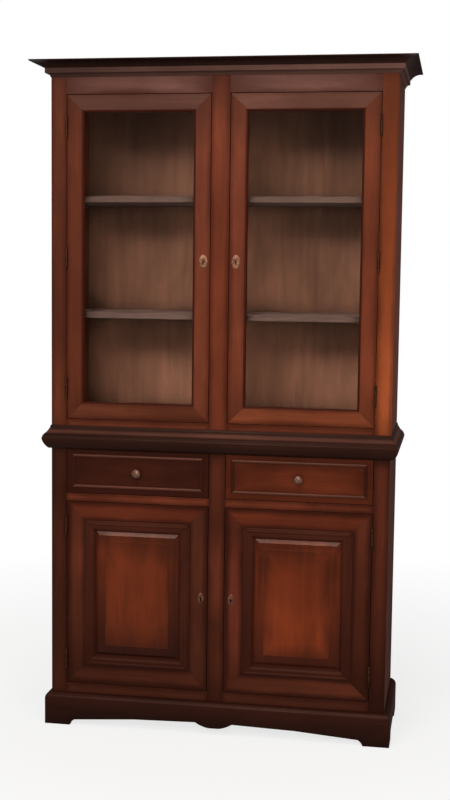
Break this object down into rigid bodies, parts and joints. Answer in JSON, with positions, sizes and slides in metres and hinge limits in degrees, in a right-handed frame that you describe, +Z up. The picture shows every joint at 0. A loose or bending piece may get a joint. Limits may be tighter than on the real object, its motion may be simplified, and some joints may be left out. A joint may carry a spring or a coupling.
{
  "type": "dresser with glazed hutch",
  "caption": "Two-part cabinet: glazed hutch with shelves on a base with drawers over panelled doors, waist and cornice mouldings, bracket-foot plinth.",
  "frame": {"origin": "on the floor under the middle of the whole cabinet, midway between the cornice's front edge and the back", "axes": "+Z up, front faces -Y, +X to the right seen from the front"},
  "size_m": [1.16, 0.415, 2.06],
  "materials": {
    "stained_wood": "red-brown stained hardwood, semi-gloss lacquer",
    "dark_moulding_wood": "near-black stained moulding, semi-gloss",
    "plinth_wood": "dark red-brown stained plinth, semi-gloss",
    "panel_wood": "orange-brown raised panel, semi-gloss lacquer",
    "drawer_front_wood": "red-brown drawer front, semi-gloss lacquer",
    "inner_board_wood": "satin brown boards inside the case",
    "plain_wood": "unstained secondary wood",
    "clear_glass": "clear drawn glass",
    "dull_brass": "aged brass",
    "knob_brass": "aged satin brass"
  },
  "bodies": {
    "case": {"hutch_side_left": "stained_wood", "hutch_side_right": "stained_wood", "hutch_top": "inner_board_wood", "hutch_bottom": "inner_board_wood", "hutch_back": "inner_board_wood", "hutch_stiles": "stained_wood", "hutch_mullion": "stained_wood", "hutch_frieze_rails": "stained_wood", "hutch_bottom_rails": "stained_wood", "hutch_shelves": "inner_board_wood", "shelf_pins": "dull_brass", "cornice_moulding": "dark_moulding_wood", "waist_moulding": "dark_moulding_wood", "base_top": "inner_board_wood", "base_side_left": "stained_wood", "base_side_right": "stained_wood", "base_bottom": "inner_board_wood", "base_back": "inner_board_wood", "base_stiles": "stained_wood", "base_mullion": "stained_wood", "base_top_rail": "stained_wood", "drawer_rails": "stained_wood", "base_bottom_rails": "stained_wood", "drawer_divider": "plain_wood", "drawer_runners": "plain_wood", "base_shelf": "inner_board_wood", "plinth_front": "plinth_wood", "plinth_returns": "plinth_wood", "plinth_blocks": "plain_wood", "case_hinge_leaves": "dull_brass"},
    "left_glazed_door": {"left_glazed_door_frame": "stained_wood", "left_glazed_door_glass": "clear_glass", "left_glazed_door_glazing_beads": "stained_wood", "left_glazed_door_hinge_leaves": "dull_brass", "left_glazed_door_lock": "dull_brass"},
    "left_glazed_door_bolt": {"left_glazed_door_lock_bolt": "dull_brass"},
    "right_glazed_door": {"right_glazed_door_frame": "stained_wood", "right_glazed_door_glass": "clear_glass", "right_glazed_door_glazing_beads": "stained_wood", "right_glazed_door_hinge_leaves": "dull_brass", "right_glazed_door_lock": "dull_brass"},
    "right_glazed_door_bolt": {"right_glazed_door_lock_bolt": "dull_brass"},
    "left_panelled_door": {"left_panelled_door_frame": "stained_wood", "left_panelled_door_panel": "panel_wood", "left_panelled_door_panel_moulding": "stained_wood", "left_panelled_door_hinge_leaves": "dull_brass", "left_panelled_door_lock": "dull_brass"},
    "left_panelled_door_bolt": {"left_panelled_door_lock_bolt": "dull_brass"},
    "right_panelled_door": {"right_panelled_door_frame": "stained_wood", "right_panelled_door_panel": "panel_wood", "right_panelled_door_panel_moulding": "stained_wood", "right_panelled_door_hinge_leaves": "dull_brass", "right_panelled_door_lock": "dull_brass"},
    "right_panelled_door_bolt": {"right_panelled_door_lock_bolt": "dull_brass"},
    "left_drawer": {"left_drawer_front": "drawer_front_wood", "left_drawer_box": "plain_wood", "left_drawer_knob": "knob_brass"},
    "right_drawer": {"right_drawer_front": "drawer_front_wood", "right_drawer_box": "plain_wood", "right_drawer_knob": "knob_brass"}
  },
  "joints": [
    {"name": "left_glazed_door_hinge", "type": "hinge", "parent": "case", "child": "left_glazed_door", "pos_m": [-0.476, -0.1565, 1.467], "axis": [0, 0, -1], "range_deg": [0, 165]},
    {"name": "left_glazed_door_bolt_slide", "type": "slide", "parent": "left_glazed_door", "child": "left_glazed_door_bolt", "axis": [1, 0, 0], "range_m": [0, 0.008]},
    {"name": "right_glazed_door_hinge", "type": "hinge", "parent": "case", "child": "right_glazed_door", "pos_m": [0.476, -0.1565, 1.467], "axis": [0, 0, 1], "range_deg": [0, 165]},
    {"name": "right_glazed_door_bolt_slide", "type": "slide", "parent": "right_glazed_door", "child": "right_glazed_door_bolt", "axis": [-1, 0, 0], "range_m": [0, 0.008]},
    {"name": "left_panelled_door_hinge", "type": "hinge", "parent": "case", "child": "left_panelled_door", "pos_m": [-0.476, -0.1565, 0.424], "axis": [0, 0, -1], "range_deg": [0, 165]},
    {"name": "left_panelled_door_bolt_slide", "type": "slide", "parent": "left_panelled_door", "child": "left_panelled_door_bolt", "axis": [1, 0, 0], "range_m": [0, 0.008]},
    {"name": "right_panelled_door_hinge", "type": "hinge", "parent": "case", "child": "right_panelled_door", "pos_m": [0.476, -0.1565, 0.424], "axis": [0, 0, 1], "range_deg": [0, 165]},
    {"name": "right_panelled_door_bolt_slide", "type": "slide", "parent": "right_panelled_door", "child": "right_panelled_door_bolt", "axis": [-1, 0, 0], "range_m": [0, 0.008]},
    {"name": "left_drawer_slide", "type": "slide", "parent": "case", "child": "left_drawer", "axis": [0, -1, 0], "range_m": [0, 0.24]},
    {"name": "right_drawer_slide", "type": "slide", "parent": "case", "child": "right_drawer", "axis": [0, -1, 0], "range_m": [0, 0.24]}
  ]
}
